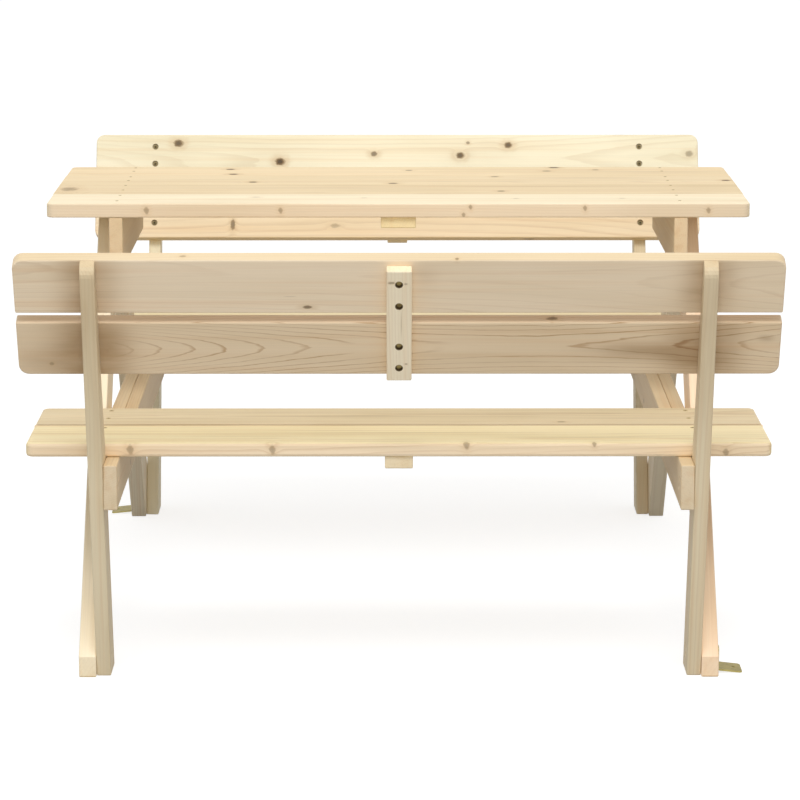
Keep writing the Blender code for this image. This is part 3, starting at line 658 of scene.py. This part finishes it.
def random_log(draw, half):
    """Return a log for a board that isn't in LOGS."""
    angle = draw.uniform(0.25, 2.9)
    reach = draw.uniform(0.045, 0.13)
    return Log(math.cos(angle) * reach, -math.sin(angle) * reach * 0.6 - half[2], draw.uniform(-0.02, 0.02),
               draw.uniform(-0.03, 0.05), draw.uniform(-0.4, 0.4), draw.uniform(0.0034, 0.0055),
               draw.uniform(0.16, 0.32), draw.uniform(0.1, 0.35))


# How much of a board's half length there is to each knot that may be there, and how likely that knot is
KNOT_SPACING = 0.16
KNOT_CHANCE = 0.55


def random_knots(draw, half):
    """Return a few small knots for a board that isn't in KNOTS."""
    found = []
    for _ in range(int(half[0] / KNOT_SPACING)):
        if draw.random() < KNOT_CHANCE:
            size = draw.uniform(0.0022, 0.0050)
            x = draw.uniform(-0.9, 0.9) * half[0]
            y = draw.uniform(-0.8, 0.8) * half[1]
            axis = draw.choice(("Z", "slant"))
            stretch = (draw.uniform(0.6, 0.9), 1, 1)
            found.append(Knot(x, y, 0, size, axis, stretch, draw.uniform(0.35, 0.7)))
    return found


def of_kind(pairs, name):
    """Return the value that goes with a board's kind: the first one that its name begins with."""
    return next(value for kind, value in pairs if name.startswith(kind))


def tone_of(name):
    """Return a board's tone: its own, or its kind's."""
    return BOARD_TONES.get(name) or of_kind(KIND_TONES, name)


# The nearness and the darkness that a board without knots gives
FAR_FROM_KNOTS = 9.0
NO_KNOT_TONE = 0.8


def add_knots(graph, place, knots):
    """Return the nearness and darkness of the nearest knot, and how far all knots swing the grain."""
    near, tone, swing = FAR_FROM_KNOTS, NO_KNOT_TONE, 0.0
    for knot in knots:
        inputs = {"Place": place, "Origin": (knot.x, knot.y, knot.z), "Axis": AXES[knot.axis],
                  "Stretch": knot.stretch, "Size": knot.size}
        found = graph.add("ShaderNodeGroup", inputs, node_tree=KNOT_GROUP)
        is_nearer = graph.math("LESS_THAN", found.outputs["Nearness"], near)
        tone = graph.add("ShaderNodeMix", {0: is_nearer, 2: tone, 3: knot.tone}, data_type="FLOAT").outputs[0]
        near = graph.math("MINIMUM", near, found.outputs["Nearness"])
        swing = graph.math("ADD", swing, found.outputs["Swing"])
    return near, tone, swing


def add_patches(graph, place, stains_and_shade, face=0.0):
    """Return how strongly patches show: stains, painted shade or places without rings.

    They go right through a board, or fade inwards from the face that lies at a height over its middle.
    """
    squeeze = 1 / STAIN_REACH if face else 0
    total = 0.0
    for patch in stains_and_shade:
        inputs = {"Place": place, "Origin": (patch.x, patch.y, face),
                  "Squeeze": (1 / patch.length, 1 / patch.width, squeeze), "Depth": patch.depth}
        found = graph.add("ShaderNodeGroup", inputs, node_tree=PATCH_GROUP)
        total = graph.math("ADD", total, found.outputs["Patch"])
    return total


def add_bores(graph, source, name):
    """Return how much painted shade lies inside and close round a board's bores."""
    spots, strength = [], 1.0
    if name.startswith("backrest_batten"):
        bench = name.split("_")[2]
        spots = [screw_spot("batten_screw_%s_%d" % (bench, number)) for number in (1, 2, 3, 4)]
    elif name.startswith("backrest_board"):
        spots, strength = board_bores(name), BOARD_BORE_DARKNESS
    dark = 0.0
    for middle, axis in spots:
        offset = graph.vector("SUBTRACT", source["Object"], tuple(middle))
        aside = graph.number("LENGTH", graph.vector("CROSS_PRODUCT", offset, tuple(axis)))
        deep = graph.math("ABSOLUTE", graph.number("DOT_PRODUCT", offset, tuple(axis)))
        round_bore = graph.step(aside, BORE_RIM + BORE_BLUR, BORE_RIM - BORE_BLUR)
        in_reach = graph.step(deep, BORE_REACH_END, BORE_REACH)
        dark = graph.math("MAXIMUM", dark, graph.math("MULTIPLY", round_bore, in_reach))
    return graph.math("MULTIPLY", dark, strength)


def screw_spot(name):
    """Return a CAD screw's middle and its direction, read from its mesh."""
    mesh = nodes[name].data
    points = [v.co for v in mesh.vertices]
    middle = sum(points, Vector()) / len(points)
    spread = Vector([max(p[i] for p in points) - min(p[i] for p in points) for i in range(3)])
    axis = max((face.normal for face in mesh.polygons), key=lambda normal: abs(normal.dot(spread)))
    return middle, axis.copy()


def board_bores(name):
    """Return the middles of the screw heads in a backrest board's counterbores, and the way they face."""
    turn, middle, half = board_axes(nodes[name])
    bench, row = name.split("_")[2:]
    inward = 1 if bench == "front" else -1
    up = turn.col[1]
    face = turn.col[2] * (1 if turn.col[2][1] * inward > 0 else -1)
    spots = []
    for end in ("left", "right"):
        x = middle_of("post_%s_%s" % (bench, end), 0)
        for place in BOARD_SCREWS[row]:
            spot = middle + up * place + face * (half[2] - BOARD_BORE_DEPTH + BOARD_HEAD_LIFT)
            spots.append((Vector((x, spot[1], spot[2])), face))
    return spots


def fir(name, item):
    """Return the material of one board, cut from its own log."""
    turn, middle, half = board_axes(item)
    draw = random.Random(name)
    log = LOGS.get(name) or random_log(draw, half)
    knots = KNOTS.get(name) or random_knots(draw, half)
    material = bpy.data.materials.new("fir_" + name)
    material.use_nodes = True
    graph = Graph(material.node_tree)
    shader = material.node_tree.nodes["Principled BSDF"]
    source = graph.add("ShaderNodeTexCoord").outputs
    place = graph.add("ShaderNodeMapping", {"Vector": source["Object"], "Location": middle,
                                            "Rotation": turn.to_euler()}, vector_type="TEXTURE").outputs[0]
    near, tone, swing = add_knots(graph, place, knots)
    facing = graph.number("DOT_PRODUCT", source["Normal"], turn.col[0])
    end = graph.step(graph.math("ABSOLUTE", facing), *END_RANGE)
    sideways = graph.number("DOT_PRODUCT", source["Normal"], turn.col[1])
    # A post's narrow faces look at the camera, so they don't count as sawn edges, and show its painted shade
    side = 0.0 if name.startswith("post") else graph.step(graph.math("ABSOLUTE", sideways), *SIDE_RANGE)
    group = graph.add("ShaderNodeGroup", node_tree=FIR_GROUP)
    stains_and_shade = add_patches(graph, place, STAINS_AND_PAINTED_SHADE.get(name, ()), half[2] if name in OUTER_STAINS_AND_SHADE else 0.0)
    calms = add_patches(graph, place, CALMS.get(name, ()))
    bores = add_bores(graph, source, name)
    values = {"Place": place, "Tone": tone_of(name), "Side Shift": of_kind(SIDE_SHIFTS, name),
              "End Shift": of_kind(END_SHIFTS, name), "Seed": draw.uniform(0, 9), "Pith Y": log.pith_y,
              "Pith Z": log.pith_z, "Drift": log.drift, "Bow": log.bow, "Bow Place": log.bow_place,
              "Ring": log.ring, "Lines": log.lines, "Sharp": log.sharp, "Sway": log.sway, "Warm": log.warm,
              "Knot": near, "Knot Tone": tone, "Swing": swing, "Patch": stains_and_shade, "Calm": calms, "Bore": bores,
              "Side": side, "End": end}
    for key, value in values.items():
        graph.feed(group.inputs[key], value)
    graph.feed(shader.inputs["Base Color"], group.outputs["Color"])
    graph.feed(shader.inputs["Roughness"], group.outputs["Roughness"])
    shader.inputs["Specular IOR Level"].default_value = FIR_SPECULAR
    bump = graph.add("ShaderNodeBump", {"Strength": FIR_BUMP, "Distance": FIR_RELIEF,
                                        "Height": group.outputs["Height"]})
    graph.feed(shader.inputs["Normal"], bump.outputs[0])
    return material


def zinc(name, colour, dirt, rough, metal=0.85):
    """Return yellow zinc plating, mottled and a little dull."""
    material = bpy.data.materials.new(name)
    material.use_nodes = True
    graph = Graph(material.node_tree)
    shader = material.node_tree.nodes["Principled BSDF"]
    place = graph.add("ShaderNodeTexCoord").outputs["Object"]
    cloud = graph.noise(place, *ZINC_CLOUD_NOISE)
    grain = graph.noise(place, *ZINC_GRAIN_NOISE)
    graph.feed(shader.inputs["Base Color"], graph.mix(graph.step(cloud, *ZINC_CLOUD_RANGE), colour, dirt))
    graph.feed(shader.inputs["Roughness"], graph.math("MULTIPLY_ADD", grain, ZINC_ROUGH_SPREAD, rough))
    shader.inputs["Metallic"].default_value = metal
    bump = graph.add("ShaderNodeBump", {"Strength": ZINC_BUMP, "Distance": ZINC_RELIEF, "Height": grain})
    graph.feed(shader.inputs["Normal"], bump.outputs[0])
    return material


ZINC_ANCHOR = zinc("zinc_anchor", srgb(174, 160, 96), srgb(148, 136, 82), 0.38)
ZINC_SCREW = zinc("zinc_screw", srgb(150, 132, 84), srgb(108, 92, 58), 0.42)
# The heads in the boards' counterbores are painted darker than the flush heads, and each recess darker than its
# head: painted shade
ZINC_BORE = zinc("zinc_bore", srgb(140, 124, 80), srgb(118, 102, 64), 0.55, 0.25)
ZINC_FLUSH = zinc("zinc_flush", srgb(204, 182, 132), srgb(176, 154, 108), 0.46)
DARK_RECESS = zinc("dark_recess", srgb(62, 52, 34), srgb(48, 42, 32), 0.60, 0.10)
PALE_RECESS = zinc("pale_recess", srgb(128, 108, 74), srgb(100, 84, 58), 0.50)


def add_screw_head(bm, place, radius, rise, recess):
    """Add one countersunk head with a lobed recess to a mesh, facing along its place's Z."""
    rings = ((radius * HEAD_FOOT, 0, -FLUSH_SINK),
             (radius, 0, rise * HEAD_EDGE_RISE),
             (radius * HEAD_TOP, 0, rise),
             (RECESS_RADIUS, RECESS_LOBE, rise),
             (RECESS_RADIUS * RECESS_FLOOR, RECESS_LOBE, rise - recess))
    loops = []
    for reach, lobe, z in rings:
        loop = []
        for i in range(SCREW_SIDES):
            angle = 2 * math.pi * i / SCREW_SIDES
            r = reach * (1 + lobe * math.cos(RECESS_LOBES * angle))
            loop.append(bm.verts.new(place @ Vector((r * math.cos(angle), r * math.sin(angle), z))))
        loops.append(loop)
    for number, (lower, upper) in enumerate(zip(loops, loops[1:])):
        for i in range(SCREW_SIDES):
            j = (i + 1) % SCREW_SIDES
            face = bm.faces.new((lower[i], lower[j], upper[j], upper[i]))
            face.smooth = number == 0
            face.material_index = int(number == len(rings) - 2)
    bm.faces.new(loops[-1]).material_index = 1
    bm.faces.new(loops[0][::-1])


def screws(name, spots, radius=SCREW_RADIUS, recess=FLUSH_RECESS, finish=(ZINC_FLUSH, PALE_RECESS)):
    """Make one piece of several screw heads, each at a point and facing a direction."""
    mesh = bpy.data.meshes.new(name)
    bm = bmesh.new()
    draw = random.Random(name)
    for point, facing in spots:
        turn = Vector(facing).to_track_quat("Z", "Y").to_matrix().to_4x4()
        spin = Matrix.Rotation(draw.uniform(0, math.pi), 4, "Z")
        add_screw_head(bm, Matrix.Translation(point) @ turn @ spin, radius, FLUSH_RISE, recess)
    bm.to_mesh(mesh)
    bm.free()
    for material in finish:
        mesh.materials.append(material)
    item = bpy.data.objects.new(name, mesh)
    bpy.context.scene.collection.objects.link(item)
    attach(item, "root")


def middle_of(node, axis):
    """Return the middle of a node's box along an axis."""
    low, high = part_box(node)
    return (low[axis] + high[axis]) / 2


# Flush screws: places across the tabletop and front seat, spacing elsewhere, and the slant of a leg's pair
TABLETOP_SCREWS = ((-0.225, -0.151), (-0.076, -0.013), (0.058, 0.114), (0.1985, 0.250))
SEAT_SCREWS = {"outer": (-0.640, -0.5655), "inner": (-0.482, -0.414)}
BATTEN_SCREW_SPREAD = 0.030
LEG_SCREW_SPREAD = 0.018
LEG_SCREW_SLANT = 0.6

# Screws in the backrest boards' counterbores: depth, height over the floor, and places across each board
BOARD_BORE_DEPTH = 0.004
BOARD_HEAD_LIFT = 0.0009
BOARD_SCREWS = {"lower": (-0.019, 0.021), "upper": (-0.012, 0.025)}


def plank_screws():
    """Screw the tabletop and the seats down onto the beams of both ends."""
    tops = {"tabletop": [("tabletop_plank_%d" % (n + 1), spots) for n, spots in enumerate(TABLETOP_SCREWS)]}
    for bench, sign in (("front", 1), ("back", -1)):
        tops["seat_" + bench] = [("seat_plank_%s_%s" % (bench, row), [sign * y for y in spots])
                                 for row, spots in SEAT_SCREWS.items()]
    for name, planks in tops.items():
        spots = []
        for plank, rows in planks:
            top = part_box(plank)[1][2]
            for end in ("left", "right"):
                x = middle_of("crossbeam_" + end, 0)
                spots += [((x, y, top), (0, 0, 1)) for y in rows]
        screws(name + "_screws", spots, TABLETOP_SCREW_RADIUS if name == "tabletop" else SEAT_SCREW_RADIUS)


def board_screws():
    """Put a screw in each counterbore in the backrests' inner faces, where the posts hold the boards."""
    for bench in ("front", "back"):
        for row in BOARD_SCREWS:
            board = "backrest_board_%s_%s" % (bench, row)
            finish = (ZINC_BORE, DARK_RECESS)
            screws(board + "_screws", board_bores(board), BORE_HEAD_RADIUS, FLUSH_SINK, finish)


def batten_screws():
    """Screw the battens under the tabletop and the seats to each plank, from below."""
    rows = {"tabletop_batten": ["tabletop_plank_%d" % n for n in (1, 2, 3, 4)]}
    for bench in ("front", "back"):
        rows["seat_batten_" + bench] = ["seat_plank_%s_%s" % (bench, row) for row in ("outer", "inner")]
    for batten, planks in rows.items():
        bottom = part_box(batten)[0][2]
        spots = []
        for plank in planks:
            for side in (-1, 1):
                y = middle_of(plank, 1) + side * BATTEN_SCREW_SPREAD
                spots.append(((middle_of(batten, 0), y, bottom), (0, 0, -1)))
        screws(batten + "_screws", spots)


def leg_screws():
    """Screw each leg from outside, to the crossbeam at its top and to the tie beam at seat height."""
    for bench in ("front", "back"):
        for end in ("left", "right"):
            leg = "leg_%s_%s" % (bench, end)
            turn, middle, _ = board_axes(nodes[leg])
            out = 1 if end == "right" else -1
            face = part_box(leg)[1 if out > 0 else 0][0]
            along, across = turn.col[0], turn.col[1]
            spots = []
            for beam in ("crossbeam_" + end, "tie_beam_" + end):
                z = middle_of(beam, 2)
                centre = middle + along * ((z - middle[2]) / along[2])
                for side in (-1, 1):
                    spot = centre + (along * LEG_SCREW_SLANT + across) * side * LEG_SCREW_SPREAD
                    spots.append(((face, spot[1], spot[2]), (out, 0, 0)))
            screws(leg + "_screws", spots)


def make_stage():
    """Make the floor, which looks white and lights the object like a pale floor."""
    bpy.ops.mesh.primitive_circle_add(vertices=FLOOR_SIDES, radius=FLOOR_RADIUS, fill_type="NGON")
    floor = bpy.context.object
    floor.name = "floor"
    material = bpy.data.materials.new("floor")
    material.use_nodes = True
    graph = Graph(material.node_tree)
    material.node_tree.nodes.remove(material.node_tree.nodes["Principled BSDF"])
    bounce = graph.add("ShaderNodeBsdfDiffuse", {"Color": (FLOOR_BOUNCE,) * 3 + (1.0,)}).outputs[0]
    seen = graph.add("ShaderNodeBsdfDiffuse", {"Color": (FLOOR_SEEN,) * 3 + (1.0,)}).outputs[0]
    glow = graph.add("ShaderNodeEmission", {"Color": (1, 1, 1, 1), "Strength": FLOOR_GLOW}).outputs[0]
    bright = graph.add("ShaderNodeAddShader", {0: seen, 1: glow}).outputs[0]
    mixed = graph.add("ShaderNodeMixShader", {0: seen_ray(graph), 1: bounce, 2: bright}).outputs[0]
    graph.feed(material.node_tree.nodes["Material Output"].inputs[0], mixed)
    floor.data.materials.append(material)


def seen_ray(graph):
    """Return 1 on a ray that shows the background: straight, mirrored or through glass."""
    path = graph.add("ShaderNodeLightPath").outputs
    either = graph.math("MAXIMUM", path["Is Camera Ray"], path["Is Glossy Ray"])
    return graph.math("MAXIMUM", either, path["Is Transmission Ray"])


def make_world():
    """Make an even sky that looks white."""
    world = bpy.data.worlds.new("studio")
    bpy.context.scene.world = world
    world.use_nodes = True
    graph = Graph(world.node_tree)
    world.node_tree.nodes.clear()
    sky = graph.add("ShaderNodeBackground", {0: (1, 1, 1, 1), 1: SKY_STRENGTH}).outputs[0]
    white = graph.add("ShaderNodeBackground", {0: (1, 1, 1, 1), 1: 1.0}).outputs[0]
    mixed = graph.add("ShaderNodeMixShader", {0: seen_ray(graph), 1: sky, 2: white}).outputs[0]
    graph.add("ShaderNodeOutputWorld", {"Surface": mixed})


def make_light(name, power, size, place):
    """Make a soft round light that points at the object."""
    light = bpy.data.lights.new(name, "AREA")
    light.shape = "DISK"
    light.size = size
    light.energy = power
    item = bpy.data.objects.new(name, light)
    item.location = place
    aim = Vector(LIGHT_AIM) - Vector(place)
    item.rotation_euler = aim.to_track_quat("-Z", "Y").to_euler()
    bpy.context.scene.collection.objects.link(item)


def make_camera():
    """Make the camera at the photograph's viewing angle."""
    data = bpy.data.cameras.new("camera")
    data.sensor_width = SENSOR_WIDTH
    data.lens = FOCAL_PIXELS / FRAME_PIXELS * SENSOR_WIDTH
    data.clip_end = CLIP_END
    item = bpy.data.objects.new("camera", data)
    item.location = CAMERA_PLACE
    item.rotation_euler = (math.pi / 2 - CAMERA_PITCH, 0, -CAMERA_YAW)
    bpy.context.scene.collection.objects.link(item)
    bpy.context.scene.camera = item


def dress_nodes():
    """Give every CAD node its own finish."""
    for name, item in nodes.items():
        if name.startswith("ground_anchor"):
            material = ZINC_ANCHOR
        elif "_screw_" in name:
            material = ZINC_SCREW
        else:
            material = fir(name, item)
        item.data.materials.clear()
        item.data.materials.append(material)


dress_nodes()
plank_screws()
board_screws()
batten_screws()
leg_screws()
make_stage()
make_world()
make_light("key", KEY_POWER, KEY_SIZE, KEY_PLACE)
make_light("fill", FILL_POWER, FILL_SIZE, FILL_PLACE)
make_camera()
bpy.context.scene.view_settings.view_transform = "Standard"
